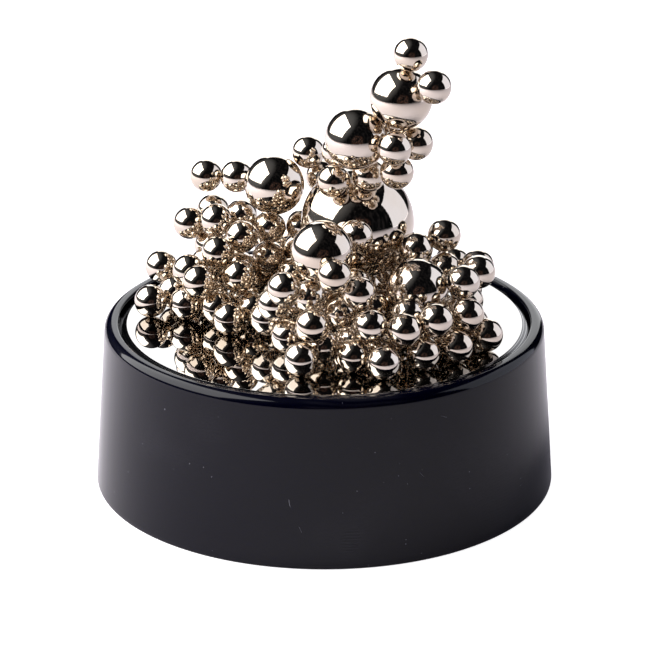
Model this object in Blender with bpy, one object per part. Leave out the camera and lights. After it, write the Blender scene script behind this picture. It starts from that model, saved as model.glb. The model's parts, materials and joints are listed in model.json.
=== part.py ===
"""Magnetic desk sculpture: a heap of polished steel balls on a magnetic base with a mirror top.

Run with: blender --background --python part.py

Sizes are millimetres in this file and become metres as the meshes are made. The origin is the
middle of the base at the level of the desk, +Z is up and the balls' front face looks along -Y.
Balls that touch keep a hair of clearance, CONTACT_GAP, so that no two solids meet.
"""

import math

import bmesh
import bpy
import numpy as np
from mathutils import Matrix, Vector

MM = 0.001

# Base: a drum that narrows upwards, with a raised round rim around the mirror
BASE_BOTTOM_RADIUS = 42.0
BASE_TOP_RADIUS = 39.8
BASE_CLEARANCE = 0.1          # the shell's lower edge stands this far above the desk
RIM_TOP = 30.5
RIM_ROUND = 1.5
RIM_INNER_RADIUS = 37.4
RIM_CHAMFER = 0.3
DECK_TOP = 26.6
DECK_THICKNESS = 1.6
WALL_THICKNESS = 3.2
COVER_SEAT_HEIGHT = 4.2       # the wall steps in here and stops the bottom cover
COVER_SEAT_DEPTH = 1.2
COLLAR_INNER_RADIUS = 30.6
COLLAR_THICKNESS = 1.6
COLLAR_BOTTOM = 12.0
FIT_GAP = 0.3                 # between pieces that rest on each other

MIRROR_RADIUS = 37.0
MIRROR_THICKNESS = 2.0
MIRROR_TOP = 30.0
MIRROR_BEVEL_WIDTH = 1.2
MIRROR_BEVEL_DROP = 0.45
PAD_RADIUS = 34.0
PAD_THICKNESS = 0.8
MAGNET_RADIUS = 30.0
MAGNET_BORE_RADIUS = 12.0
MAGNET_THICKNESS = 10.0
KEEPER_THICKNESS = 1.5
COVER_THICKNESS = 2.0
COVER_POST_RADIUS = 26.0
COVER_POST_WALL = 3.0
FOOT_RADIUS = 37.5
FOOT_THICKNESS = 1.6
BASE_SEGMENTS = 48

# Balls
SMALL_RADIUS = 3.0
MEDIUM_RADIUS = 5.5
LARGE_RADIUS = 10.25
CONTACT_GAP = 0.05
NECK_RADIUS = 0.45
NECK_SIDES = 5
NECK_END = 2.5                # a neck ends this far from the middles of the balls that it joins
TOUCHING = 0.6                # balls closer than this are taken to touch

# Balls that lie on the mirror: name, x, y
ON_MIRROR = [
    ("left_1", -31.5, 1.5), ("left_2", -27.5, 6.0), ("left_3", -25.0, 0.0),
    ("left_4", -19.5, -2.0), ("left_5", -17.0, -7.5), ("left_6", -13.0, -2.5),
    ("back_1", -8.5, 14.5),
    ("front_1", -6.5, -16.0), ("front_2", -4.0, -27.0), ("front_3", 5.0, -25.5),
    ("front_4", 10.0, -28.5),
    ("right_1", 17.0, -24.5), ("right_2", 23.0, -21.0), ("right_3", 28.5, -15.5),
]

# The large ball sits in the heap, a little to the right of the middle
LARGE_PLACE = (6.0, 3.5, 47.5)

# Balls that cling to another ball: name, the ball it clings to, and the direction from that ball's
# middle to its own as an azimuth from +X and an elevation, in degrees
CLINGING = [
    # left flank, from the lowest row up
    ("left_7", "left_3", 80, 65), ("left_8", "left_7", 290, 0),
    ("left_9", "left_7", 60, -5), ("left_10", "left_2", 120, 35),
    ("left_11", "left_9", 85, 15), ("left_12", "left_11", 195, 50),
    ("left_13", "left_12", 330, 15), ("left_14", "left_12", 45, 10),
    ("left_15", "left_13", 40, -5), ("left_16", "left_13", 325, -20),
    ("left_17", "left_16", 225, -15), ("left_18", "left_17", 320, -35),
    # pillar that carries the left medium ball, and the arm that reaches out to the left
    ("left_19", "back_1", 240, 55), ("left_20", "left_19", 280, 85),
    ("left_21", "left_20", 5, 0), ("left_22", "left_19", 320, -20),
    ("left_23", "left_21", 105, -65),
    ("medium_left", "left_20", 315, 80),
    ("arm_1", "medium_left", 145, 0), ("arm_2", "arm_1", 160, -5),
    ("arm_3", "medium_left", 20, 40), ("arm_4", "arm_3", 35, -60),
    # front, with the medium ball that leans on the large one
    ("front_5", "front_1", 130, 15), ("front_6", "front_5", 290, 45),
    ("front_7", "front_6", 295, 45), ("front_8", "front_2", 40, 65),
    ("front_9", "front_8", 55, -55), ("front_10", "front_3", 15, 60),
    ("front_11", "front_10", 350, -5), ("front_12", "front_10", 125, 55),
    ("front_13", "front_12", 205, 40), ("medium_front", "front_13", 105, 10),
    ("front_14", "medium_front", 190, -75), ("front_15", "medium_front", 45, 5),
    # right flank
    ("right_4", "front_11", 25, 10), ("right_5", "right_4", 140, -5),
    ("right_6", "right_2", 60, 50), ("right_7", "right_6", 100, 50),
    ("right_8", "right_7", 60, 0), ("right_9", "right_8", 90, -10),
    ("right_10", "right_9", 195, 0), ("right_11", "right_10", 90, 65),
    ("right_12", "right_10", 70, -10), ("right_13", "right_11", 210, -15),
    ("medium_right", "right_13", 270, -35),
    # seen between the flanks
    ("core_1", "medium_right", 185, -25), ("core_2", "core_1", 125, 30),
    ("core_3", "core_1", 200, 0), ("core_4", "large", 100, -60), ("core_5", "core_4", 305, -20),
    # tower on the large ball
    ("tower_1", "large", 240, 50), ("tower_2", "tower_1", 80, 45),
    ("medium_tower", "tower_2", 295, 30), ("medium_top", "medium_tower", 350, 45),
    ("tower_3", "medium_tower", 320, 0), ("tower_4", "tower_3", 80, -60),
    ("tower_5", "tower_4", 30, 50), ("tower_6", "large", 282, 58), ("tower_7", "medium_tower", 34, 3),
    ("top_1", "medium_top", 315, 75), ("top_2", "medium_top", 315, 25),
]

# Small balls that are pieces of their own; the others are joined into piles
SINGLE_SMALLS = (
    ["top_1", "top_2"]
    + [f"tower_{n}" for n in range(1, 8)]
    + ["arm_1", "arm_2", "arm_3", "arm_4"]
    + [f"left_{n}" for n in (1, 3, 5, 8, 10, 12, 13, 16)]
    + [f"front_{n}" for n in (1, 2, 3, 4, 6, 7, 8, 10, 11, 12, 13, 15)]
    + [f"right_{n}" for n in (2, 3, 4, 6, 7, 8, 10, 11, 13)]
)

# The heap that fills the space behind the chosen balls: its footprint (an ellipse of ball middles),
# its dome, and the outline that it stays under as seen from the front
FOOTPRINT_CENTRE = (-1.0, -3.0)
FOOTPRINT_RADII = (29.5, 26.0)
DOME_CENTRE = (-1.0, -2.0, 30.0)
DOME_RADII = (33.0, 27.0, 21.0)
SKYLINE = [(-33, 36), (-28, 38.5), (-24, 45), (-12, 47), (-3, 45),
           (0, 50), (10, 50), (15, 40), (27, 38), (33, 34)]
FRONT_ELEVATION = 20.0        # the heap is arranged to be looked at from this far above its front
SHOWING = 1.1                 # a filling ball may cover a chosen one's edge by this much
BEHIND = 0.2                  # a filling ball this much nearer the front counts as in front

# How the balls are pushed apart until none meet
SETTLE_ROUNDS = 400
SETTLE_STEP = 0.55            # share of each overlap that is cleared in a round
SETTLED = 1e-4                # the largest overlap that is left, in millimetres

# Piles: name and the spot that each one gathers around
PILES = [
    ("pile_left", (-20.0, 3.0, 37.0)),
    ("pile_front", (-4.0, -18.0, 37.0)),
    ("pile_right", (21.0, -12.0, 37.0)),
    ("pile_back", (8.0, 14.0, 37.0)),
    ("pile_middle", (-6.0, 6.0, 37.0)),
]


def clear_scene():
    for thing in list(bpy.data.objects):
        bpy.data.objects.remove(thing, do_unlink=True)


def make_material(name, colour, roughness, metallic=0.0):
    material = bpy.data.materials.new(name)
    material.use_nodes = True
    shader = material.node_tree.nodes["Principled BSDF"]
    shader.inputs["Base Color"].default_value = (*colour, 1.0)
    shader.inputs["Roughness"].default_value = roughness
    shader.inputs["Metallic"].default_value = metallic
    return material


def add_object(name, mesh, material, location=(0.0, 0.0, 0.0), parent=None):
    """Link a mesh as an object whose origin is at location, in millimetres in the world."""
    thing = bpy.data.objects.new(name, mesh)
    if not mesh.materials:
        mesh.materials.append(material)
    bpy.context.collection.objects.link(thing)
    place(thing, location, parent)
    return thing


def place(thing, location, parent=None):
    thing["middle"] = [float(value) for value in location]
    start = Vector(parent["middle"]) if parent else Vector((0.0, 0.0, 0.0))
    thing.parent = parent
    thing.location = (Vector(thing["middle"]) - start) * MM


def add_empty(name, location, parent=None):
    thing = bpy.data.objects.new(name, None)
    thing.empty_display_size = 10 * MM
    bpy.context.collection.objects.link(thing)
    place(thing, location, parent)
    return thing


# ---------------------------------------------------------------- base

def turned_mesh(name, profile, closed_ring):
    """Spin a profile of (radius, height) points, in millimetres, around Z.

    A ring's profile is a closed loop; a disc's profile starts and ends on the axis.
    """
    bm = bmesh.new()
    points = [bm.verts.new((radius * MM, 0.0, height * MM)) for radius, height in profile]
    edges = [bm.edges.new(pair) for pair in zip(points, points[1:])]
    if closed_ring:
        edges.append(bm.edges.new((points[-1], points[0])))
    bmesh.ops.spin(bm, geom=points + edges, cent=(0, 0, 0), axis=(0, 0, 1),
                   angle=math.tau, steps=BASE_SEGMENTS, use_merge=True)
    bmesh.ops.remove_doubles(bm, verts=bm.verts, dist=1e-6)
    bmesh.ops.recalc_face_normals(bm, faces=bm.faces)
    mesh = bpy.data.meshes.new(name)
    bm.to_mesh(mesh)
    bm.free()
    mesh.shade_smooth()
    mesh.set_sharp_from_angle(angle=math.radians(35))
    return mesh


def arc(centre, radius, start, end, steps):
    """Points of an arc from start to end, in degrees, in the profile's plane."""
    angles = [math.radians(start + (end - start) * k / steps) for k in range(steps + 1)]
    return [(centre[0] + radius * math.cos(a), centre[1] + radius * math.sin(a)) for a in angles]


def shell_profile():
    slope = (BASE_BOTTOM_RADIUS - BASE_TOP_RADIUS) / (RIM_TOP - RIM_ROUND - BASE_CLEARANCE)
    under_deck = DECK_TOP - DECK_THICKNESS

    def wall(height):
        return BASE_BOTTOM_RADIUS - slope * (height - BASE_CLEARANCE) - WALL_THICKNESS

    collar_outer = COLLAR_INNER_RADIUS + COLLAR_THICKNESS
    seat = wall(COVER_SEAT_HEIGHT)
    return (
        [(BASE_BOTTOM_RADIUS, BASE_CLEARANCE)]
        + arc((BASE_TOP_RADIUS - RIM_ROUND, RIM_TOP - RIM_ROUND), RIM_ROUND, 0, 90, 4)
        + [(RIM_INNER_RADIUS + RIM_CHAMFER, RIM_TOP), (RIM_INNER_RADIUS, RIM_TOP - RIM_CHAMFER)]
        + [(RIM_INNER_RADIUS, DECK_TOP), (0.0, DECK_TOP)]
        + [(0.0, under_deck), (COLLAR_INNER_RADIUS, under_deck)]
        + [(COLLAR_INNER_RADIUS, COLLAR_BOTTOM), (collar_outer, COLLAR_BOTTOM)]
        + [(collar_outer, under_deck), (wall(under_deck), under_deck)]
        + [(seat, COVER_SEAT_HEIGHT), (seat + COVER_SEAT_DEPTH, COVER_SEAT_HEIGHT)]
        + [(seat + COVER_SEAT_DEPTH, BASE_CLEARANCE), (BASE_BOTTOM_RADIUS, BASE_CLEARANCE)]
    )


def disc_profile(radius, bottom, top):
    return [(0.0, bottom), (radius, bottom), (radius, top), (0.0, top)]


def mirror_profile(bottom):
    bevel_start = MIRROR_RADIUS - MIRROR_BEVEL_WIDTH
    return [(0.0, bottom), (MIRROR_RADIUS, bottom), (MIRROR_RADIUS, MIRROR_TOP - MIRROR_BEVEL_DROP),
            (bevel_start, MIRROR_TOP), (0.0, MIRROR_TOP)]


def ring_profile(inner, outer, bottom, top):
    return [(inner, bottom), (outer, bottom), (outer, top), (inner, top)]


def cover_profile():
    seat_radius = BASE_BOTTOM_RADIUS - WALL_THICKNESS
    bottom = FOOT_THICKNESS + FIT_GAP
    top = bottom + COVER_THICKNESS
    post_top = magnet_bottom() - FIT_GAP - KEEPER_THICKNESS - FIT_GAP
    inner = COVER_POST_RADIUS - COVER_POST_WALL
    return [(0.0, bottom), (seat_radius, bottom), (seat_radius, top), (COVER_POST_RADIUS, top),
            (COVER_POST_RADIUS, post_top), (inner, post_top), (inner, top), (0.0, top)]


def magnet_bottom():
    return DECK_TOP - DECK_THICKNESS - FIT_GAP - MAGNET_THICKNESS


def build_base(parent):
    gloss_black = make_material("gloss_black_plastic", (0.01, 0.01, 0.012), 0.12)
    mirror = make_material("mirror_glass", (0.92, 0.93, 0.93), 0.02, 1.0)
    foam = make_material("foam", (0.05, 0.05, 0.05), 0.9)
    ferrite = make_material("ferrite", (0.06, 0.06, 0.065), 0.6, 0.3)
    steel = make_material("plain_steel", (0.5, 0.5, 0.5), 0.35, 1.0)

    mirror_bottom = MIRROR_TOP - MIRROR_THICKNESS
    pad_top = mirror_bottom - FIT_GAP
    keeper_top = magnet_bottom() - FIT_GAP
    discs = [
        ("mirror_disc", mirror, mirror_profile(mirror_bottom), False),
        ("mirror_pad", foam, disc_profile(PAD_RADIUS, pad_top - PAD_THICKNESS, pad_top), False),
        ("ring_magnet", ferrite,
         ring_profile(MAGNET_BORE_RADIUS, MAGNET_RADIUS, magnet_bottom(),
                      magnet_bottom() + MAGNET_THICKNESS), True),
        ("keeper_plate", steel,
         disc_profile(MAGNET_RADIUS, keeper_top - KEEPER_THICKNESS, keeper_top), False),
        ("bottom_cover", gloss_black, cover_profile(), False),
        ("foot_pad", foam, disc_profile(FOOT_RADIUS, 0.0, FOOT_THICKNESS), False),
    ]
    # the shell's outline runs from its lower edge over the rim to the axis and back under the deck
    outline = shell_profile()
    on_axis = [k for k, point in enumerate(outline) if point[0] == 0.0]
    ordered = outline[on_axis[1]:-1] + outline[:on_axis[1]]
    add_object("base_shell", turned_mesh("base_shell", ordered, False), gloss_black, parent=parent)
    for name, material, profile, is_ring in discs:
        add_object(name, turned_mesh(name, profile, is_ring), material, parent=parent)


# ---------------------------------------------------------------- where the balls lie

def radius_of(name):
    if name == "large":
        return LARGE_RADIUS
    return MEDIUM_RADIUS if name.startswith("medium") else SMALL_RADIUS


def direction(azimuth, elevation):
    a, e = math.radians(azimuth), math.radians(elevation)
    return np.array([math.cos(e) * math.cos(a), math.cos(e) * math.sin(a), math.sin(e)])


def chosen_balls():
    """Middles of the balls that are placed one by one, as a dict in the order they are placed."""
    middles = {name: np.array([x, y, MIRROR_TOP + SMALL_RADIUS + CONTACT_GAP])
               for name, x, y in ON_MIRROR}
    middles["large"] = np.array(LARGE_PLACE)
    for name, neighbour, azimuth, elevation in CLINGING:
        reach = radius_of(neighbour) + radius_of(name) + CONTACT_GAP
        middles[name] = middles[neighbour] + reach * direction(azimuth, elevation)
    return middles


def settle(middles, radii):
    """Push balls apart, the lighter one further, until every pair keeps the contact gap."""
    reach = radii[:, None] + radii[None, :] + CONTACT_GAP
    weight = radii ** 3
    share = weight[None, :] / (weight[:, None] + weight[None, :])
    for _ in range(SETTLE_ROUNDS):
        apart = middles[:, None, :] - middles[None, :, :]
        distance = np.linalg.norm(apart, axis=2)
        np.fill_diagonal(distance, 1e9)
        push = np.maximum(reach - distance, 0.0)
        if push.max() < SETTLED:
            break
        shift = ((push * share / distance)[:, :, None] * apart).sum(axis=1)
        middles = middles + SETTLE_STEP * shift
        middles[:, 2] = np.maximum(middles[:, 2], MIRROR_TOP + radii + CONTACT_GAP)
    return middles


def pockets_between_three(middles, reaches):
    """The two points at the given reaches from three middles, if there are any."""
    first, second, third = middles
    along = second - first
    span = np.linalg.norm(along)
    along = along / span
    offset = along @ (third - first)
    across = third - first - offset * along
    width = np.linalg.norm(across)
    if width < 1e-6:
        return []
    across = across / width
    x = (reaches[0] ** 2 - reaches[1] ** 2 + span ** 2) / (2 * span)
    across_reach = reaches[0] ** 2 - reaches[2] ** 2 + offset ** 2 + width ** 2
    y = (across_reach - 2 * offset * x) / (2 * width)
    rise_squared = reaches[0] ** 2 - x * x - y * y
    if rise_squared < 0:
        return []
    foot = first + x * along + y * across
    rise = math.sqrt(rise_squared) * np.cross(along, across)
    return [foot + rise, foot - rise]


def pockets_on_mirror(middles, reaches):
    """The two points on the mirror at the given reaches from two middles, if there are any."""
    level = MIRROR_TOP + SMALL_RADIUS + CONTACT_GAP
    flat = [reach ** 2 - (middle[2] - level) ** 2 for middle, reach in zip(middles, reaches)]
    if min(flat) <= 0:
        return []
    near, far = math.sqrt(flat[0]), math.sqrt(flat[1])
    step = (middles[1] - middles[0])[:2]
    span = np.linalg.norm(step)
    if span < 1e-6 or span > near + far or span < abs(near - far):
        return []
    step = step / span
    along = (near ** 2 - far ** 2 + span ** 2) / (2 * span)
    aside = math.sqrt(max(near ** 2 - along ** 2, 0.0))
    foot = middles[0][:2] + along * step
    side = aside * np.array([-step[1], step[0]])
    return [np.array([*(foot + side), level]), np.array([*(foot - side), level])]


class Heap:
    """The chosen balls, and the small balls that fill the space behind and under them."""

    def __init__(self, chosen):
        self.names = list(chosen)
        self.radii = np.array([radius_of(name) for name in self.names])
        self.middles = settle(np.array([chosen[name] for name in self.names]), self.radii)
        self.skin = self.middles.copy()
        self.skin_radii = self.radii.copy()
        tilt = math.radians(FRONT_ELEVATION)
        self.toward_front = np.array([0.0, -math.cos(tilt), math.sin(tilt)])
        self.upward = np.array([0.0, math.sin(tilt), math.cos(tilt)])

    def is_inside(self, point):
        """Whether a filling ball may lie here: in the dome, under the outline, behind the skin."""
        footprint = sum(((point[k] - FOOTPRINT_CENTRE[k]) / FOOTPRINT_RADII[k]) ** 2 for k in (0, 1))
        dome = sum(((point[k] - DOME_CENTRE[k]) / DOME_RADII[k]) ** 2 for k in (0, 1, 2))
        lowest = MIRROR_TOP + SMALL_RADIUS + CONTACT_GAP - SETTLED
        rise = point @ self.upward
        outline = np.interp(point[0], [x for x, _ in SKYLINE], [height for _, height in SKYLINE])
        if footprint > 1 or dome > 1 or point[2] < lowest or rise > outline:
            return False
        seen_apart = np.hypot(self.skin[:, 0] - point[0], self.skin @ self.upward - rise)
        covers = seen_apart < self.skin_radii + SMALL_RADIUS - SHOWING
        in_front = point @ self.toward_front > self.skin @ self.toward_front + BEHIND
        return not (covers & in_front).any()

    def pockets_beside(self, index):
        """Free places for a small ball that touches this ball and two others, or the mirror."""
        span = np.linalg.norm(self.middles - self.middles[index], axis=1)
        bridge = 2 * (SMALL_RADIUS + CONTACT_GAP)
        around = [k for k in range(len(self.radii))
                  if k != index and span[k] < self.radii[k] + self.radii[index] + bridge]
        reach = self.radii + SMALL_RADIUS + CONTACT_GAP
        found = []
        for position, k in enumerate(around):
            found += pockets_on_mirror(self.middles[[index, k]], reach[[index, k]])
            for m in around[position + 1:]:
                apart = np.linalg.norm(self.middles[k] - self.middles[m])
                if apart < self.radii[k] + self.radii[m] + bridge:
                    three = [index, k, m]
                    found += pockets_between_three(self.middles[three], reach[three])
        return [point for point in found if self.is_inside(point) and self.is_free(point)]

    def is_free(self, point):
        apart = np.linalg.norm(self.middles - point, axis=1)
        return bool((apart > self.radii + SMALL_RADIUS + CONTACT_GAP - SETTLED).all())

    def fill(self):
        """Keep dropping a small ball into the lowest free pocket until none is left."""
        pockets = [point for k in range(len(self.names)) for point in self.pockets_beside(k)]
        while pockets:
            lowest = min(pockets, key=lambda point: round(float(point[2]), 4))
            self.names.append(f"fill_{len(self.names)}")
            self.middles = np.vstack([self.middles, lowest])
            self.radii = np.append(self.radii, SMALL_RADIUS)
            pockets = [point for point in pockets if self.is_free(point)]
            pockets += self.pockets_beside(len(self.names) - 1)

    def middle_of(self, name):
        return self.middles[self.names.index(name)]


def gather_piles(heap):
    """Share the joined balls out to the piles, each pile growing through balls that touch.

    Returns a dict from pile name to a list of (ball index, index of the pile's ball it joins).
    """
    loose = [k for k, name in enumerate(heap.names)
             if radius_of(name) == SMALL_RADIUS and name not in SINGLE_SMALLS]
    piles = {}
    for name, spot in PILES:
        start = min(loose, key=lambda k: np.linalg.norm(heap.middles[k] - spot))
        piles[name] = [(start, None)]
        loose.remove(start)
    while loose:
        best = None
        for name, spot in PILES:
            members = [k for k, _ in piles[name]]
            for k in loose:
                span = np.linalg.norm(heap.middles[members] - heap.middles[k], axis=1)
                gap = span.min() - 2 * SMALL_RADIUS
                far = np.linalg.norm(heap.middles[k] - spot)
                touches = gap <= TOUCHING
                rank = (not touches, round(float(far if touches else gap), 4))
                if best is None or rank < best[0]:
                    best = (rank, name, k, members[int(span.argmin())])
        _, name, k, joined_to = best
        piles[name].append((k, joined_to))
        loose.remove(k)
    return piles


# ---------------------------------------------------------------- ball meshes

def sphere_mesh(name, radius, subdivisions):
    bm = bmesh.new()
    bmesh.ops.create_icosphere(bm, subdivisions=subdivisions, radius=radius * MM)
    mesh = bpy.data.meshes.new(name)
    bm.to_mesh(mesh)
    bm.free()
    mesh.shade_smooth()
    return mesh


def pile_object(name, members, heap, material, parent):
    """Small balls joined by thin necks where they touch, made one body by a union."""
    origin = heap.middles[members[0][0]]
    balls = bmesh.new()
    necks = bmesh.new()
    for k, joined_to in members:
        middle = Vector((heap.middles[k] - origin) * MM)
        bmesh.ops.create_icosphere(balls, subdivisions=2, radius=SMALL_RADIUS * MM,
                                   matrix=Matrix.Translation(middle))
        if joined_to is None:
            continue
        other = Vector((heap.middles[joined_to] - origin) * MM)
        turn = (other - middle).to_track_quat("Z", "Y").to_matrix().to_4x4()
        length = (other - middle).length - 2 * NECK_END * MM
        bmesh.ops.create_cone(necks, cap_ends=True, segments=NECK_SIDES,
                              radius1=NECK_RADIUS * MM, radius2=NECK_RADIUS * MM, depth=length,
                              matrix=Matrix.Translation((middle + other) / 2) @ turn)
    meshes = []
    for label, bm in ((name, balls), (name + "_necks", necks)):
        mesh = bpy.data.meshes.new(label)
        bm.to_mesh(mesh)
        bm.free()
        meshes.append(mesh)
    pile = add_object(name, meshes[0], material, origin, parent)
    cutter = add_object(name + "_necks", meshes[1], material, origin, parent)
    cutter.hide_render = True
    cutter.display_type = "WIRE"
    union = pile.modifiers.new("join", "BOOLEAN")
    union.operation = "UNION"
    union.object = cutter
    return pile


def build_balls(parent):
    steel = make_material("polished_steel", (0.72, 0.69, 0.66), 0.04, 1.0)
    heap = Heap(chosen_balls())
    heap.fill()
    group = add_empty("heap", (0.0, 0.0, MIRROR_TOP), parent)
    for name, members in gather_piles(heap).items():
        pile_object(name, members, heap, steel, group)
    add_object("large_ball", sphere_mesh("large_ball", LARGE_RADIUS, 3), steel,
               heap.middle_of("large"), group)
    medium = sphere_mesh("medium_ball", MEDIUM_RADIUS, 3)
    small = sphere_mesh("small_ball", SMALL_RADIUS, 2)
    for name in heap.names:
        if name.startswith("medium"):
            add_object(f"ball_{name}", medium, steel, heap.middle_of(name), group)
        elif name in SINGLE_SMALLS:
            add_object(f"ball_{name}", small, steel, heap.middle_of(name), group)


def main():
    clear_scene()
    base = add_empty("base", (0.0, 0.0, 0.0))
    build_base(base)
    build_balls(base)
    bpy.context.view_layer.update()


main()
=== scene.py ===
"""Magnetic desk sculpture: polished steel balls heaped on a black base with a mirror top.

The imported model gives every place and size. This file gives each piece its final shape and
finish, and sets the object in a small studio. Lengths are metres unless a name says otherwise.
"""

import json
import logging
import math
from dataclasses import dataclass, field
from enum import Enum
from typing import Any

import bmesh
import bpy
from mathutils import Matrix, Vector


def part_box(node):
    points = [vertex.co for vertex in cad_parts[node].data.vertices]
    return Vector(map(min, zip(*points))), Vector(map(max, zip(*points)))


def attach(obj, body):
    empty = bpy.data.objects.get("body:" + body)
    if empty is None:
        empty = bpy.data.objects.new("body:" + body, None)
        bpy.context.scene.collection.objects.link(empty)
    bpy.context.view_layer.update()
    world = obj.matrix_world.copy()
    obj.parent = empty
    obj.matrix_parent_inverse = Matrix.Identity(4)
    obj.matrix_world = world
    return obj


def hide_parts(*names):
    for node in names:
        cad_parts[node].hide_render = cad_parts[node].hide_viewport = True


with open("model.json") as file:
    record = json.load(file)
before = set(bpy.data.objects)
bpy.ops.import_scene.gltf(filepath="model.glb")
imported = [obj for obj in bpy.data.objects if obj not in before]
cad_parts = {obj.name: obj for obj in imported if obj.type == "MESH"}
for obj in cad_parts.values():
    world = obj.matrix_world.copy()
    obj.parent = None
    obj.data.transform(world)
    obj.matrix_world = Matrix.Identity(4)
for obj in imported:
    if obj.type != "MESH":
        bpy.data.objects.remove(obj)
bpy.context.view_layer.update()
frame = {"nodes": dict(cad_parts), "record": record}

MM = 0.001
LOG = logging.getLogger("desk_sculpture")
Colour = tuple[float, float, float]


# ---------------------------------------------------------------- shader graphs

class Graph:
    """A node tree that is being wired."""

    def __init__(self, tree: bpy.types.NodeTree) -> None:
        """Keep the tree.

        Args:
            tree: The material's, world's or group's node tree.
        """
        self.tree = tree

    def add(self, kind: str, inputs: dict[Any, Any] | None = None, **settings: Any) -> bpy.types.Node:
        """Add a node and fill its inputs.

        Args:
            kind: The node's type, such as ShaderNodeMath.
            inputs: A value or an output socket for each input, by name or by index.
            **settings: The node's own properties.

        Returns:
            The new node.
        """
        node = self.tree.nodes.new(kind)
        for name, value in settings.items():
            setattr(node, name, value)
        for key, value in (inputs or {}).items():
            if isinstance(value, bpy.types.NodeSocket):
                self.tree.links.new(value, node.inputs[key])
            else:
                node.inputs[key].default_value = value
        return node

    def math(self, operation: str, first: Any, second: Any = 0.0) -> bpy.types.NodeSocket:
        """Combine two values and return the result's socket.

        Args:
            operation: The math node's operation.
            first: A value or socket.
            second: A value or socket.

        Returns:
            The result's socket.
        """
        return self.add("ShaderNodeMath", {0: first, 1: second}, operation=operation).outputs[0]

    def band(self, value: Any, low: float, high: float, out_low: Any = 0.0,
             out_high: Any = 1.0) -> bpy.types.NodeSocket:
        """Map a value from one range to another with soft ends.

        Args:
            value: The socket to map.
            low: The value that becomes out_low.
            high: The value that becomes out_high.
            out_low: The result at low.
            out_high: The result at high.

        Returns:
            The result's socket.
        """
        node = self.add("ShaderNodeMapRange", {"Value": value, "From Min": low, "From Max": high,
                                               "To Min": out_low, "To Max": out_high},
                        interpolation_type="SMOOTHSTEP")
        return node.outputs["Result"]

    def blend(self, factor: Any, first: Any, second: Any) -> bpy.types.NodeSocket:
        """Mix two colours and return the result's socket.

        Args:
            factor: How much of the second colour shows.
            first: A colour or socket.
            second: A colour or socket.

        Returns:
            The result's socket.
        """
        node = self.add("ShaderNodeMix", {0: factor, 6: first, 7: second}, data_type="RGBA")
        return node.outputs[2]

    def toward(self, way: bpy.types.NodeSocket, middle: tuple[float, float, float], edge: float,
               core: float) -> bpy.types.NodeSocket:
        """Tell how near a direction is to a middle one: 0 beyond the edge, 1 inside the core.

        Args:
            way: The direction's socket.
            middle: The middle direction.
            edge: The outer limit, in degrees.
            core: The inner limit, in degrees.

        Returns:
            The result's socket.
        """
        near = self.add("ShaderNodeVectorMath", {0: way, 1: Vector(middle).normalized()},
                        operation="DOT_PRODUCT")
        return self.band(near.outputs["Value"], math.cos(math.radians(edge)), math.cos(math.radians(core)))

    def object_point(self) -> bpy.types.NodeSocket:
        """Return the socket that gives a point's place on the object."""
        return self.add("ShaderNodeTexCoord").outputs["Object"]


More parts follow.
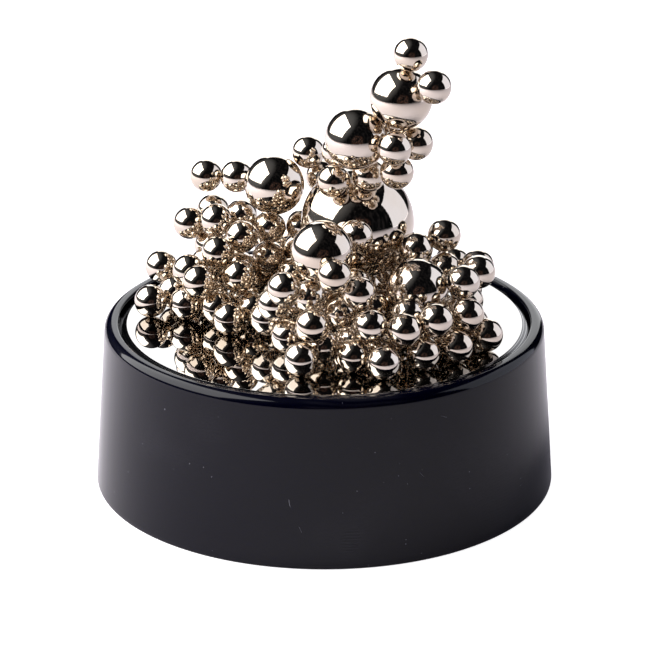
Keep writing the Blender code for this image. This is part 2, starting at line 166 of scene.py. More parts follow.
class SharedEffects:
    """Surface effects that several finishes use, each built once as a node group."""

    def __init__(self) -> None:
        """Build the groups."""
        self.dust = self._dust()
        self.hairlines = self._hairlines()
        self.finger_marks = self._finger_marks()

    @staticmethod
    def _begin(name: str, inputs: dict[str, float], outputs: list[str]) -> tuple[Graph, Any, Any]:
        """Start a group with a point input.

        Args:
            name: The group's name.
            inputs: The default of each value input.
            outputs: The names of the value outputs.

        Returns:
            The graph and its input and output nodes.
        """
        tree = bpy.data.node_groups.new(name, "ShaderNodeTree")
        tree.interface.new_socket("Point", in_out="INPUT", socket_type="NodeSocketVector")
        for label, default in inputs.items():
            socket = tree.interface.new_socket(label, in_out="INPUT", socket_type="NodeSocketFloat")
            socket.default_value = default
        for label in outputs:
            tree.interface.new_socket(label, in_out="OUTPUT", socket_type="NodeSocketFloat")
        graph = Graph(tree)
        return graph, graph.add("NodeGroupInput"), graph.add("NodeGroupOutput")

    def _dust(self) -> bpy.types.NodeTree:
        """Specks of dust: a round spot at a few of the points of a fine scatter.

        Returns:
            The group, which puts out Mask.
        """
        graph, given, put = self._begin("dust_specks", {"Cells per Metre": 650.0, "Speck Size": 0.09,
                                                        "Share": 0.3}, ["Mask"])
        cells = graph.add("ShaderNodeTexVoronoi", {"Vector": given.outputs["Point"],
                                                   "Scale": given.outputs["Cells per Metre"]})
        drift = graph.add("ShaderNodeTexNoise", {"Vector": given.outputs["Point"], "Scale": 55.0,
                                                 "Detail": 2.0})
        chance = graph.add("ShaderNodeSeparateColor", {"Color": cells.outputs["Color"]})
        size = graph.math("MULTIPLY", given.outputs["Speck Size"],
                          graph.band(chance.outputs[1], 0.0, 1.0, 0.5, 1.4))
        spot = graph.math("LESS_THAN", cells.outputs["Distance"], size)
        share = graph.math("MULTIPLY", given.outputs["Share"],
                           graph.band(drift.outputs["Fac"], 0.42, 0.62, 0.15, 2.0))
        kept = graph.math("LESS_THAN", chance.outputs[0], share)
        graph.tree.links.new(graph.math("MULTIPLY", spot, kept), put.inputs["Mask"])
        return graph.tree

    def _hairlines(self) -> bpy.types.NodeTree:
        """Fine scratches and lint: short pieces of thin curved lines.

        Returns:
            The group, which puts out Mask.
        """
        graph, given, put = self._begin("hairlines", {"Lines per Metre": 45.0, "Line Width": 0.004,
                                                      "Share": 0.5}, ["Mask"])
        course = graph.add("ShaderNodeTexNoise", {"Vector": given.outputs["Point"], "Detail": 0.5,
                                                  "Scale": given.outputs["Lines per Metre"]})
        off_line = graph.math("ABSOLUTE", graph.math("SUBTRACT", course.outputs["Fac"], 0.5))
        line = graph.math("LESS_THAN", off_line, given.outputs["Line Width"])
        gate = graph.add("ShaderNodeTexNoise", {"Vector": given.outputs["Point"], "Scale": 210.0,
                                                "Detail": 1.0})
        limit = graph.math("SUBTRACT", 0.9, graph.math("MULTIPLY", given.outputs["Share"], 0.5))
        kept = graph.math("GREATER_THAN", gate.outputs["Fac"], limit)
        graph.tree.links.new(graph.math("MULTIPLY", line, kept), put.inputs["Mask"])
        return graph.tree

    def _finger_marks(self) -> bpy.types.NodeTree:
        """Handling marks: soft patches, with fine ridges inside them.

        Returns:
            The group, which puts out Patch and Ridges.
        """
        graph, given, put = self._begin("finger_marks", {"Patches per Metre": 42.0, "Ridge Pitch": 520.0},
                                        ["Patch", "Ridges"])
        patches = graph.add("ShaderNodeTexNoise", {"Vector": given.outputs["Point"], "Detail": 2.0,
                                                   "Scale": given.outputs["Patches per Metre"]})
        patch = graph.band(patches.outputs["Fac"], 0.52, 0.66)
        ridges = graph.add("ShaderNodeTexWave", {"Vector": given.outputs["Point"], "Distortion": 9.0,
                                                 "Scale": given.outputs["Ridge Pitch"],
                                                 "Detail": 1.0, "Detail Scale": 0.12},
                           bands_direction="Z")
        graph.tree.links.new(patch, put.inputs["Patch"])
        graph.tree.links.new(graph.math("MULTIPLY", ridges.outputs["Fac"], patch), put.inputs["Ridges"])
        return graph.tree


class Finish:
    """A procedural material that is made the first time it is asked for."""

    label = "finish"
    slot = ""

    def __init__(self, effects: SharedEffects) -> None:
        """Keep the shared effects.

        Args:
            effects: The node groups that finishes may place.
        """
        self.effects = effects
        self._material: bpy.types.Material | None = None

    @property
    def material(self) -> bpy.types.Material:
        """The finished material."""
        if self._material is None:
            self._material = bpy.data.materials.new(self.label)
            self._material.use_nodes = True
            graph = Graph(self._material.node_tree)
            self.wire(graph, self._material.node_tree.nodes["Principled BSDF"], graph.object_point())
        return self._material

    def wire(self, graph: Graph, shader: bpy.types.Node, point: bpy.types.NodeSocket) -> None:
        """Wire the finish.

        Args:
            graph: The material's graph.
            shader: The material's Principled BSDF.
            point: The socket of the place on the object.
        """
        raise NotImplementedError

    def effect(self, graph: Graph, group: bpy.types.NodeTree, point: bpy.types.NodeSocket,
               **values: float) -> bpy.types.Node:
        """Place a shared effect.

        Args:
            graph: The material's graph.
            group: The effect's node group.
            point: The socket of the place on the object.
            **values: The group's values, with underscores for spaces.

        Returns:
            The group node.
        """
        inputs = {name.replace("_", " "): value for name, value in values.items()}
        node = graph.add("ShaderNodeGroup", node_tree=group)
        graph.tree.links.new(point, node.inputs["Point"])
        for name, value in inputs.items():
            node.inputs[name].default_value = value
        return node

    @staticmethod
    def feed(graph: Graph, shader: bpy.types.Node, sockets: dict[str, Any]) -> None:
        """Set or link the shader's sockets.

        Args:
            graph: The material's graph.
            shader: The material's Principled BSDF.
            sockets: A value or output socket for each of the shader's inputs.
        """
        for name, value in sockets.items():
            if isinstance(value, bpy.types.NodeSocket):
                graph.tree.links.new(value, shader.inputs[name])
            else:
                shader.inputs[name].default_value = value


class PolishedSteel(Finish):
    """Nickel-bright steel with the faint haze and specks of handled balls."""

    label = "polished_steel"
    slot = "polished_steel"
    bright: Colour = (0.695, 0.622, 0.542)
    warm: Colour = (0.650, 0.560, 0.462)
    speck: Colour = (0.32, 0.30, 0.28)
    polish = 0.045
    peel_height = 0.0000035

    def wire(self, graph: Graph, shader: bpy.types.Node, point: bpy.types.NodeSocket) -> None:
        """Wire the finish (see Finish.wire)."""
        marks = self.effect(graph, self.effects.finger_marks, point, Patches_per_Metre=160.0,
                            Ridge_Pitch=900.0)
        dust = self.effect(graph, self.effects.dust, point, Cells_per_Metre=1100.0, Speck_Size=0.05,
                           Share=0.03)
        tone = graph.add("ShaderNodeTexNoise", {"Vector": point, "Scale": 90.0, "Detail": 3.0})
        colour = graph.blend(graph.band(tone.outputs["Fac"], 0.35, 0.68), (*self.bright, 1.0),
                             (*self.warm, 1.0))
        haze = graph.math("MULTIPLY", marks.outputs["Patch"], 0.05)
        rough = graph.math("ADD", graph.math("ADD", haze, self.polish),
                           graph.math("MULTIPLY", dust.outputs["Mask"], 0.3))
        peel = graph.add("ShaderNodeTexNoise", {"Vector": point, "Scale": 1900.0, "Detail": 2.0})
        bump = graph.add("ShaderNodeBump", {"Height": peel.outputs["Fac"], "Strength": 1.0,
                                            "Distance": self.peel_height})
        self.feed(graph, shader, {
            "Base Color": graph.blend(graph.math("MULTIPLY", dust.outputs["Mask"], 0.5), colour,
                                      (*self.speck, 1.0)),
            "Metallic": 1.0,
            "Roughness": rough,
            "Normal": bump.outputs["Normal"],
        })


class GlossBlackPlastic(Finish):
    """Moulded black plastic with a high gloss, dust, lint and finger marks."""

    label = "gloss_black_plastic"
    slot = "gloss_black"
    body: Colour = (0.0002, 0.0003, 0.0040)
    lint: Colour = (0.17, 0.17, 0.20)
    index = 1.33
    dust_strength = 0.8
    hair_strength = 0.55
    ridge_strength = 0.035

    def wire(self, graph: Graph, shader: bpy.types.Node, point: bpy.types.NodeSocket) -> None:
        """Wire the finish (see Finish.wire)."""
        dust = self.effect(graph, self.effects.dust, point, Cells_per_Metre=720.0, Speck_Size=0.055,
                           Share=0.16)
        hairs = self.effect(graph, self.effects.hairlines, point, Lines_per_Metre=60.0,
                            Line_Width=0.0012, Share=0.36)
        marks = self.effect(graph, self.effects.finger_marks, point)
        swirl = graph.add("ShaderNodeTexNoise", {"Vector": point, "Scale": 34.0, "Detail": 4.0})
        lint = graph.math("MAXIMUM",
                          graph.math("MULTIPLY", dust.outputs["Mask"], self.dust_strength),
                          graph.math("MULTIPLY", hairs.outputs["Mask"], self.hair_strength))
        ridges = graph.math("MULTIPLY", marks.outputs["Ridges"], self.ridge_strength)
        specks = graph.math("MAXIMUM", lint, ridges)
        rough = graph.math("ADD", graph.band(swirl.outputs["Fac"], 0.3, 0.7, 0.07, 0.11),
                           graph.math("MULTIPLY", marks.outputs["Patch"], 0.05))
        relief = graph.math("ADD", graph.math("MULTIPLY", marks.outputs["Ridges"], 0.3),
                            graph.math("MULTIPLY", hairs.outputs["Mask"], 1.0))
        bump = graph.add("ShaderNodeBump", {"Height": relief, "Strength": 0.25, "Distance": 0.00004})
        self.feed(graph, shader, {
            "Base Color": graph.blend(specks, (*self.body, 1.0), (*self.lint, 1.0)),
            "Roughness": graph.math("MAXIMUM", rough, graph.math("MULTIPLY", lint, 0.6)),
            "IOR": self.index,
            "Normal": bump.outputs["Normal"],
        })


class MirrorGlass(Finish):
    """Silvered glass, clean but for a little dust, with a dark ground edge. Sizes are millimetres."""

    label = "mirror_glass"
    slot = "mirror"
    silver: Colour = (0.53, 0.515, 0.50)
    dusty: Colour = (0.36, 0.35, 0.34)
    ground_edge: Colour = (0.045, 0.045, 0.05)
    groove: Colour = (0.42, 0.42, 0.42)
    silver_radius = 35.8
    silver_fade = 0.08
    groove_pitch = 0.5

    def wire(self, graph: Graph, shader: bpy.types.Node, point: bpy.types.NodeSocket) -> None:
        """Wire the finish (see Finish.wire)."""
        dust = self.effect(graph, self.effects.dust, point, Cells_per_Metre=620.0, Speck_Size=0.05,
                           Share=0.10)
        marks = self.effect(graph, self.effects.finger_marks, point, Patches_per_Metre=60.0,
                            Ridge_Pitch=500.0)
        flat = graph.add("ShaderNodeVectorMath", {0: point, 1: (1.0, 1.0, 0.0)}, operation="MULTIPLY")
        radius = graph.add("ShaderNodeVectorMath", {0: flat.outputs["Vector"]}, operation="LENGTH")
        edge = graph.band(radius.outputs["Value"], self.silver_radius * MM,
                          (self.silver_radius + self.silver_fade) * MM)
        turns = graph.math("MULTIPLY", radius.outputs["Value"], math.tau / (self.groove_pitch * MM))
        grooves = graph.band(graph.math("SINE", turns), 0.55, 0.95, 0.0, 0.5)
        ground = graph.blend(grooves, (*self.ground_edge, 1.0), (*self.groove, 1.0))
        silver = graph.blend(graph.math("MULTIPLY", dust.outputs["Mask"], 0.5),
                             (*self.silver, 1.0), (*self.dusty, 1.0))
        rough = graph.math("ADD", graph.math("MULTIPLY", marks.outputs["Patch"], 0.018),
                           graph.math("ADD", 0.006, graph.math("MULTIPLY", dust.outputs["Mask"], 0.3)))
        self.feed(graph, shader, {
            "Base Color": graph.blend(edge, silver, ground),
            "Metallic": 1.0,
            "Roughness": graph.math("ADD", rough, graph.math("MULTIPLY", edge, 0.12)),
        })


class DenseFoam(Finish):
    """Matt dark foam with fine open pores, whose hollows are darkened with painted shade."""

    label = "dense_foam"
    slot = "foot_foam"
    light: Colour = (0.075, 0.069, 0.062)
    # painted shade: the colour of the pore hollows, darker than the foam itself
    pore_shade: Colour = (0.018, 0.016, 0.015)

    def wire(self, graph: Graph, shader: bpy.types.Node, point: bpy.types.NodeSocket) -> None:
        """Wire the finish (see Finish.wire)."""
        pores = graph.add("ShaderNodeTexVoronoi", {"Vector": point, "Scale": 2100.0})
        crumbs = graph.add("ShaderNodeTexNoise", {"Vector": point, "Scale": 300.0, "Detail": 5.0})
        # Painted shade: the pore hollows, where the bump is lowest, get the darker colour; the crumbs add
        # random tone.
        pore = graph.band(pores.outputs["Distance"], 0.1, 0.45)
        tone = graph.math("MULTIPLY", pore, graph.band(crumbs.outputs["Fac"], 0.3, 0.7, 0.6, 1.0))
        bump = graph.add("ShaderNodeBump", {"Height": pore, "Strength": 0.7, "Distance": 0.0002})
        self.feed(graph, shader, {
            "Base Color": graph.blend(tone, (*self.pore_shade, 1.0), (*self.light, 1.0)),
            "Roughness": graph.band(crumbs.outputs["Fac"], 0.3, 0.7, 0.82, 0.95),
            "Normal": bump.outputs["Normal"],
        })


class ThinFoamTape(DenseFoam):
    """The double-sided foam that holds the mirror, with painted shade in its pore hollows."""

    label = "thin_foam_tape"
    slot = "foam"
    light: Colour = (0.06, 0.06, 0.06)
    # painted shade for the tape's pore hollows
    pore_shade: Colour = (0.02, 0.02, 0.02)


class SinteredFerrite(Finish):
    """Dull dark magnet ceramic with a coarse ground face."""

    label = "sintered_ferrite"
    slot = "ferrite"
    dark: Colour = (0.03, 0.03, 0.032)
    pale: Colour = (0.11, 0.11, 0.115)

    def wire(self, graph: Graph, shader: bpy.types.Node, point: bpy.types.NodeSocket) -> None:
        """Wire the finish (see Finish.wire)."""
        grain = graph.add("ShaderNodeTexNoise", {"Vector": point, "Scale": 900.0, "Detail": 6.0})
        chips = graph.add("ShaderNodeTexVoronoi", {"Vector": point, "Scale": 240.0})
        tone = graph.math("MULTIPLY", grain.outputs["Fac"], graph.band(chips.outputs["Distance"], 0.05, 0.3,
                                                                       0.6, 1.0))
        bump = graph.add("ShaderNodeBump", {"Height": grain.outputs["Fac"], "Strength": 0.4,
                                            "Distance": 0.0002})
        self.feed(graph, shader, {
            "Base Color": graph.blend(tone, (*self.dark, 1.0), (*self.pale, 1.0)),
            "Metallic": 0.25,
            "Roughness": graph.band(grain.outputs["Fac"], 0.3, 0.7, 0.5, 0.75),
            "Normal": bump.outputs["Normal"],
        })


class RolledSteel(Finish):
    """Plain steel sheet with rolling lines along it."""

    label = "rolled_steel"
    slot = "plain_steel"
    dull: Colour = (0.42, 0.42, 0.42)
    bright: Colour = (0.62, 0.61, 0.6)

    def wire(self, graph: Graph, shader: bpy.types.Node, point: bpy.types.NodeSocket) -> None:
        """Wire the finish (see Finish.wire)."""
        along = graph.add("ShaderNodeMapping", {"Vector": point, "Scale": (30.0, 1500.0, 30.0)})
        lines = graph.add("ShaderNodeTexNoise", {"Vector": along.outputs["Vector"], "Scale": 1.0,
                                                 "Detail": 4.0})
        bump = graph.add("ShaderNodeBump", {"Height": lines.outputs["Fac"], "Strength": 0.2,
                                            "Distance": 0.00005})
        self.feed(graph, shader, {
            "Base Color": graph.blend(lines.outputs["Fac"], (*self.dull, 1.0), (*self.bright, 1.0)),
            "Metallic": 1.0,
            "Roughness": graph.band(lines.outputs["Fac"], 0.3, 0.7, 0.25, 0.42),
            "Normal": bump.outputs["Normal"],
        })


# ---------------------------------------------------------------- making pieces

def body_of_node(node: str) -> str:
    """Return the name of the body that a CAD node belongs to.

    Args:
        node: The node's name.

    Returns:
        The body's name.
    """
    bodies = frame["record"]["behaviour"]["bodies"]
    return next(body for body, nodes in bodies.items() if node in nodes)


def finish_piece(bm: bmesh.types.BMesh, name: str, node: str, finish: Finish) -> bpy.types.Object:
    """Turn a bmesh into a piece that stands for a CAD node and rides on its body.

    Args:
        bm: The piece's shape, in place; it is freed.
        name: The piece's name.
        node: The CAD node that it replaces.
        finish: The finish that covers it.

    Returns:
        The piece.
    """
    mesh = bpy.data.meshes.new(name)
    bm.to_mesh(mesh)
    bm.free()
    mesh.materials.append(finish.material)
    piece = bpy.data.objects.new(name, mesh)
    bpy.context.scene.collection.objects.link(piece)
    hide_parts(node)
    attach(piece, body_of_node(node))
    LOG.info("%s: %d faces, replaces %s", name, len(mesh.polygons), node)
    return piece


@dataclass
class Corner:
    """A round along one edge ring of a turned piece: where it is and how big."""

    radius: float
    height: float
    size: float
    segments: int


def turned(outline: list[tuple[float, float]], corners: list[Corner], steps: int = 256,
           ring: bool = False) -> bmesh.types.BMesh:
    """Spin an outline around the upright axis and round its corners.

    Args:
        outline: (radius, height) in millimetres, from the axis round to the axis.
        corners: The edge rings to round, in millimetres.
        steps: How many steps the full turn takes.
        ring: Whether the outline is a closed loop off the axis.

    Returns:
        The closed shape, facing outwards.
    """
    bm = bmesh.new()
    points = [bm.verts.new((radius * MM, 0.0, height * MM)) for radius, height in outline]
    edges = [bm.edges.new(pair) for pair in zip(points, points[1:])]
    if ring:
        edges.append(bm.edges.new((points[-1], points[0])))
    bmesh.ops.spin(bm, geom=points + edges, cent=(0, 0, 0), axis=(0, 0, 1), angle=math.tau,
                   steps=steps, use_merge=True)
    bmesh.ops.remove_doubles(bm, verts=bm.verts, dist=1e-7)
    bmesh.ops.recalc_face_normals(bm, faces=bm.faces)
    for corner in corners:
        around = [edge for edge in bm.edges
                  if all(abs(math.hypot(v.co.x, v.co.y) - corner.radius * MM) < 1e-6
                         and abs(v.co.z - corner.height * MM) < 1e-6 for v in edge.verts)]
        bmesh.ops.bevel(bm, geom=around, offset=corner.size * MM, offset_type="OFFSET",
                        affect="EDGES", segments=corner.segments, profile=0.5, material=-1,
                        clamp_overlap=True)
    for face in bm.faces:
        face.smooth = True
    return bm


class BallSize(Enum):
    """The three sizes of ball: radius in millimetres and how finely each is divided."""

    SMALL = (3.0, 4)
    MEDIUM = (5.5, 5)
    LARGE = (10.25, 6)

    @property
    def radius(self) -> float:
        """The radius in metres."""
        return self.value[0] * MM

    @property
    def fineness(self) -> int:
        """The number of icosphere subdivisions."""
        return self.value[1]


class BallHeap:
    """The clinging balls: three sizes, some loose and some gathered in piles."""

    same_middle = 0.05 * MM
    enough_faces = 20

    def __init__(self, finish: Finish) -> None:
        """Keep the finish.

        Args:
            finish: The finish of every ball.
        """
        self.finish = finish

    @staticmethod
    def size_of(node: str) -> BallSize:
        """Return the size of the balls in a CAD node.

        Args:
            node: The node's name.

        Returns:
            The size.
        """
        if node == "large_ball":
            return BallSize.LARGE
        return BallSize.MEDIUM if "medium" in node else BallSize.SMALL

    def middles_in(self, node: str, radius: float) -> list[Vector]:
        """Find the middles of the balls that a pile's faces lie on.

        The corners of a face are all one radius from the middle of its ball, so each face points to
        a middle; the points that many faces agree on are the balls.

        Args:
            node: The pile's node.
            radius: The balls' radius.

        Returns:
            The middles, lowest first.
        """
        mesh = frame["nodes"][node].data
        votes: list[list[Any]] = []
        for face in mesh.polygons:
            first, second, third = (mesh.vertices[k].co for k in face.vertices[:3])
            u, v = second - first, third - first
            normal = u.cross(v)
            if normal.length < 1e-12:
                continue
            around = (v.length_squared * normal.cross(u) + u.length_squared * v.cross(normal))
            around /= 2 * normal.length_squared
            depth = radius ** 2 - around.length_squared
            if depth <= 0:
                continue
            middle = first + around - normal.normalized() * math.sqrt(depth)
            for vote in votes:
                if (vote[0] - middle).length < self.same_middle:
                    vote[1] += 1
                    break
            else:
                votes.append([middle, 1])
        agreed = [middle for middle, count in votes if count >= self.enough_faces]
        return sorted(agreed, key=lambda point: (round(point.z, 5), point.x))

    def build(self) -> None:
        """Make a piece for every ball node and every pile node."""
        for node in sorted(frame["nodes"]):
            if not (node.startswith(("ball_", "pile_")) or node == "large_ball"):
                continue
            size = self.size_of(node)
            low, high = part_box(node)
            pile = node.startswith("pile_")
            middles = self.middles_in(node, size.radius) if pile else [(low + high) / 2]
            bm = bmesh.new()
            for middle in middles:
                bmesh.ops.create_icosphere(bm, subdivisions=size.fineness, radius=size.radius,
                                           matrix=Matrix.Translation(middle))
            for face in bm.faces:
                face.smooth = True
            LOG.info("%s holds %d", node, len(middles))
            finish_piece(bm, f"steel_{node}", node, self.finish)


@dataclass
class MagneticBase:
    """The round black base, its mirror and its underside. Sizes are millimetres."""

    plastic: Finish
    glass: Finish
    foot_foam: Finish
    top_radius: float = 39.8
    rim_inner_radius: float = 37.4
    rim_round: float = 1.5
    rim_inner_round: float = 0.3
    deck_top: float = 26.6
    deck_thickness: float = 1.6
    wall_thickness: float = 3.2
    seat_height: float = 4.2
    seat_depth: float = 1.2
    support: float = 0.12
    foot_round: float = 0.35
    mirror_bevel_width: float = 1.2
    mirror_bevel_drop: float = 0.45
    mirror_edge_round: float = 0.06
    cover_thickness: float = 2.0
    cover_round: float = 0.4
    post_radius: float = 26.0
    post_inner_radius: float = 23.0
    pad_lower_round: float = 0.3
    pad_upper_round: float = 0.2

    def shell(self) -> bpy.types.Object:
        """Make the drum with its raised rim.

        Returns:
            The piece.
        """
        low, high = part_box("base_shell")
        foot, top, bottom = high.x / MM, high.z / MM, low.z / MM
        lean = (foot - self.top_radius) / (top - bottom)

        def wall(height: float) -> float:
            """Radius of the outer wall at a height."""
            return foot - lean * (height - bottom)

        keep = self.rim_round + self.support
        inner_keep = self.rim_inner_round + self.support
        seat = wall(self.seat_height) - self.wall_thickness
        under = self.deck_top - self.deck_thickness
        outline = [
            (0.0, self.deck_top), (self.rim_inner_radius - self.support, self.deck_top),
            (self.rim_inner_radius, self.deck_top),
            (self.rim_inner_radius, self.deck_top + self.support),
            (self.rim_inner_radius, top - inner_keep), (self.rim_inner_radius, top),
            (self.rim_inner_radius + inner_keep, top), (self.top_radius - keep, top),
            (self.top_radius, top), (wall(top - keep), top - keep),
            (wall(bottom + 1.0), bottom + 1.0), (foot, bottom), (foot - 1.0, bottom),
            (seat + self.seat_depth, bottom), (seat + self.seat_depth, self.seat_height),
            (seat, self.seat_height), (wall(under) - self.wall_thickness, under), (0.0, under),
        ]
        corners = [Corner(self.top_radius, top, self.rim_round, 8),
                   Corner(self.rim_inner_radius, top, self.rim_inner_round, 4),
                   Corner(foot, bottom, self.foot_round, 4)]
        piece = finish_piece(turned(outline, corners), "black_drum", "base_shell", self.plastic)
        piece.data.set_sharp_from_angle(angle=math.radians(40))
        return piece

    def mirror(self) -> bpy.types.Object:
        """Make the bevelled mirror disc.

        Returns:
            The piece.
        """
        low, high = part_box("mirror_disc")
        radius, top, bottom = high.x / MM, high.z / MM, low.z / MM
        inside = radius - self.mirror_bevel_width
        outline = [(0.0, top), (inside - 0.1, top), (inside, top), (radius, top - self.mirror_bevel_drop),
                   (radius, bottom), (0.0, bottom)]
        corners = [Corner(inside, top, self.mirror_edge_round, 2)]
        piece = finish_piece(turned(outline, corners), "mirror_plate", "mirror_disc", self.glass)
        piece.data.set_sharp_from_angle(angle=math.radians(12))
        return piece

    def underside(self) -> list[bpy.types.Object]:
        """Make the bottom cover and the foot pad.

        Returns:
            The two pieces.
        """
        low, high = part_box("bottom_cover")
        radius, bottom, post = high.x / MM, low.z / MM, high.z / MM
        top = bottom + self.cover_thickness
        outline = [(0.0, bottom), (radius - 1.0, bottom), (radius, bottom), (radius, top),
                   (self.post_radius, top), (self.post_radius, post), (self.post_inner_radius, post),
                   (self.post_inner_radius, top), (0.0, top)]
        cover = finish_piece(turned(outline, [Corner(radius, bottom, self.cover_round, 3)], steps=192),
                             "bottom_plate", "bottom_cover", self.plastic)
        cover.data.set_sharp_from_angle(angle=math.radians(40))
        low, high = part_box("foot_pad")
        radius, top = high.x / MM, high.z / MM
        outline = [(0.0, 0.0), (radius - 1.0, 0.0), (radius, 0.0), (radius, top), (radius - 1.0, top),
                   (0.0, top)]
        corners = [Corner(radius, 0.0, self.pad_lower_round, 3),
                   Corner(radius, top, self.pad_upper_round, 2)]
        pad = finish_piece(turned(outline, corners, steps=192), "foot_ring", "foot_pad", self.foot_foam)
        pad.data.set_sharp_from_angle(angle=math.radians(40))
        return [cover, pad]

    def build(self) -> None:
        """Make every piece of the base."""
        self.shell()
        self.mirror()
        self.underside()


@dataclass
class HiddenParts:
    """The parts inside the base, which keep their CAD shapes."""

    finishes: dict[str, Finish] = field(default_factory=dict)

    def dress(self) -> None:
        """Give each kept CAD node its finish."""
        for node, finish in self.finishes.items():
            thing = frame["nodes"][node]
            thing.data.materials.clear()
            thing.data.materials.append(finish.material)
            LOG.info("%s keeps its shape, finish %s", node, finish.label)


# ---------------------------------------------------------------- studio

@dataclass(frozen=True)
class SoftPanel:
    """A soft light: the way to its middle, its upward edge, its size and its glow."""

    name: str
    toward: tuple[float, float, float]
    up: tuple[float, float, float]
    distance: float
    width: float
    height: float
    glow: float
    colour: Colour = (1.0, 1.0, 1.0)
    mirrored: bool = True

    def build(self, aim: Vector) -> bpy.types.Object:
        """Make the light.

        Args:
            aim: The point that the panel faces.

        Returns:
            The light.
        """
        back = Vector(self.toward).normalized()
        side = Vector(self.up).cross(back).normalized()
        upward = back.cross(side)
        lamp = bpy.data.lights.new(self.name, "AREA")
        lamp.shape = "RECTANGLE"
        lamp.size, lamp.size_y = self.width, self.height
        lamp.energy = self.glow * math.pi * self.width * self.height
        lamp.color = self.colour
        thing = bpy.data.objects.new(self.name, lamp)
        bpy.context.scene.collection.objects.link(thing)
        turn = Matrix((side, upward, back)).transposed().to_4x4()
        thing.matrix_world = Matrix.Translation(aim + back * self.distance) @ turn
        thing.visible_camera = False
        thing.visible_glossy = self.mirrored
        return thing


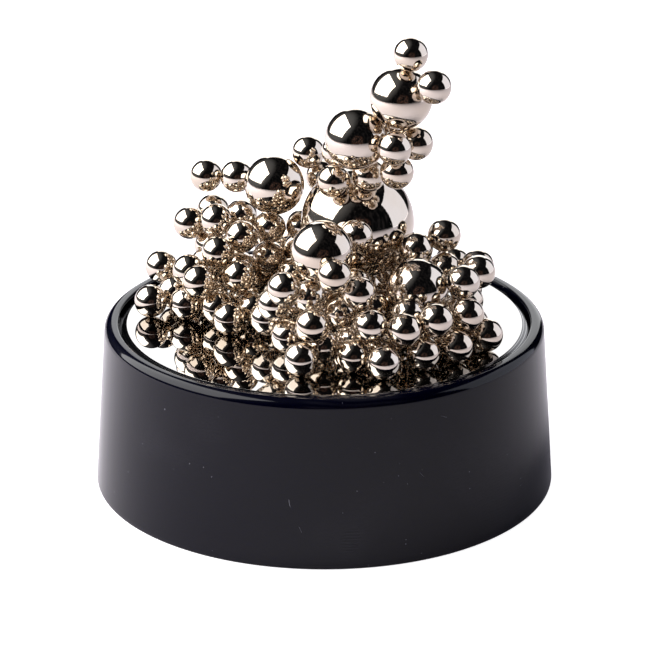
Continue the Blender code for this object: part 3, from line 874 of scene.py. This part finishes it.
@dataclass
class Studio:
    """The floor, the lights, the dim room and the camera."""

    aim: Vector = field(default_factory=lambda: Vector((0.0, 0.0, 0.05)))
    panels: tuple[SoftPanel, ...] = (
        SoftPanel("soft_box", (-0.778, 0.054, 0.626), (0.626, 0.165, 0.763), 0.60, 0.875, 0.617, 4.6),
        SoftPanel("soft_fill", (-0.778, 0.054, 0.626), (0.626, 0.165, 0.763), 0.45, 0.656, 0.463, 2.2,
                  mirrored=False),
        SoftPanel("side_panel", (0.94, 0.20, 0.30), (0.0, 0.0, 1.0), 0.55, 0.60, 0.58, 1.32,
                  (0.85, 0.88, 1.0)),
        SoftPanel("back_cloth", (0.10, 0.965, 0.24), (0.0, 0.0, 1.0), 1.30, 0.86, 0.80, 1.95,
                  (0.97, 0.98, 1.0)),
    )
    floor_tone: Colour = (0.76, 0.72, 0.77)
    floor_lift: float = 0.93
    room_dark: Colour = (0.0025, 0.0028, 0.0035)
    room_pale: Colour = (0.020, 0.019, 0.021)
    glow_tone: Colour = (0.12, 0.125, 0.135)
    warm_tone: Colour = (0.105, 0.058, 0.046)
    warm_side: tuple[float, float, float] = (0.10, -0.97, 0.10)
    camera_place: tuple[float, float, float] = (0.0, -0.4748, 0.2128)
    camera_tilt: float = 68.88
    camera_lens: float = 156.38

    def floor(self) -> None:
        """Make the pale floor, which looks white where it is seen directly."""
        bm = bmesh.new()
        bmesh.ops.create_grid(bm, x_segments=4, y_segments=4, size=1.0)
        mesh = bpy.data.meshes.new("pale_floor")
        bm.to_mesh(mesh)
        bm.free()
        thing = bpy.data.objects.new("pale_floor", mesh)
        bpy.context.scene.collection.objects.link(thing)
        material = bpy.data.materials.new("pale_floor")
        material.use_nodes = True
        graph = Graph(material.node_tree)
        graph.tree.nodes.remove(graph.tree.nodes["Principled BSDF"])
        cloud = graph.add("ShaderNodeTexNoise", {"Vector": graph.object_point(), "Scale": 3.0})
        tone = graph.blend(cloud.outputs["Fac"], (*[c * 0.98 for c in self.floor_tone], 1.0),
                           (*self.floor_tone, 1.0))
        matt = graph.add("ShaderNodeBsdfDiffuse", {"Color": tone})
        lift = graph.add("ShaderNodeEmission", {"Color": (1.0, 1.0, 1.0, 1.0), "Strength": self.floor_lift})
        lifted = graph.add("ShaderNodeAddShader", {0: lift.outputs[0], 1: matt.outputs[0]})
        seen = graph.add("ShaderNodeLightPath").outputs["Is Camera Ray"]
        mix = graph.add("ShaderNodeMixShader", {0: seen, 1: matt.outputs[0], 2: lifted.outputs[0]})
        graph.tree.links.new(mix.outputs[0], graph.tree.nodes["Material Output"].inputs["Surface"])
        mesh.materials.append(material)

    def room(self) -> None:
        """Make the dim room: dark, with faint folds, a glow by the soft box and a warm low front."""
        world = bpy.data.worlds.new("dim_room")
        world.use_nodes = True
        bpy.context.scene.world = world
        graph = Graph(world.node_tree)
        way = graph.add("ShaderNodeTexCoord").outputs["Generated"]
        folds = graph.add("ShaderNodeMapping", {"Vector": way, "Scale": (7.0, 7.0, 0.5)})
        cloth = graph.add("ShaderNodeTexNoise", {"Vector": folds.outputs["Vector"], "Scale": 1.6,
                                                 "Detail": 3.0})
        dark = graph.blend(graph.band(cloth.outputs["Fac"], 0.42, 0.72), (*self.room_dark, 1.0),
                           (*self.room_pale, 1.0))
        halo = graph.toward(way, self.panels[0].toward, 62.0, 34.0)
        lit = graph.blend(halo, dark, (*self.glow_tone, 1.0))
        shapes = graph.add("ShaderNodeTexNoise", {"Vector": way, "Scale": 11.0, "Detail": 2.0})
        low_front = graph.toward(way, self.warm_side, 26.0, 12.0)
        warm = graph.math("MULTIPLY", low_front, graph.band(shapes.outputs["Fac"], 0.45, 0.62))
        dim = graph.blend(warm, lit, (*self.warm_tone, 1.0))
        seen = graph.add("ShaderNodeLightPath").outputs["Is Camera Ray"]
        colour = graph.blend(seen, dim, (1.0, 1.0, 1.0, 1.0))
        graph.tree.links.new(colour, graph.tree.nodes["Background"].inputs["Color"])

    def camera(self) -> None:
        """Make the camera: a long lens from above the front."""
        data = bpy.data.cameras.new("camera")
        data.sensor_width = 36.0
        data.lens = self.camera_lens
        data.shift_x = -0.0028
        data.clip_start, data.clip_end = 0.01, 20.0
        thing = bpy.data.objects.new("camera", data)
        thing.location = self.camera_place
        thing.rotation_euler = (math.radians(self.camera_tilt), 0.0, 0.0)
        bpy.context.scene.collection.objects.link(thing)
        bpy.context.scene.camera = thing

    def build(self) -> None:
        """Set up the studio."""
        self.camera()
        self.floor()
        self.room()
        for panel in self.panels:
            panel.build(self.aim)
            LOG.info("light %s", panel.name)
        bpy.context.scene.view_settings.view_transform = "Standard"
        bpy.context.scene.cycles.max_bounces = 12
        bpy.context.scene.cycles.glossy_bounces = 8
        LOG.info("studio ready")


def main() -> None:
    """Build the studio, the base, the hidden parts and the balls."""
    logging.basicConfig(level=logging.INFO, format="%(message)s")
    Studio().build()
    effects = SharedEffects()
    plastic = GlossBlackPlastic(effects)
    MagneticBase(plastic, MirrorGlass(effects), DenseFoam(effects)).build()
    HiddenParts({
        "mirror_pad": ThinFoamTape(effects),
        "ring_magnet": SinteredFerrite(effects),
        "keeper_plate": RolledSteel(effects),
    }).dress()
    BallHeap(PolishedSteel(effects)).build()


if __name__ == "__main__":
    main()
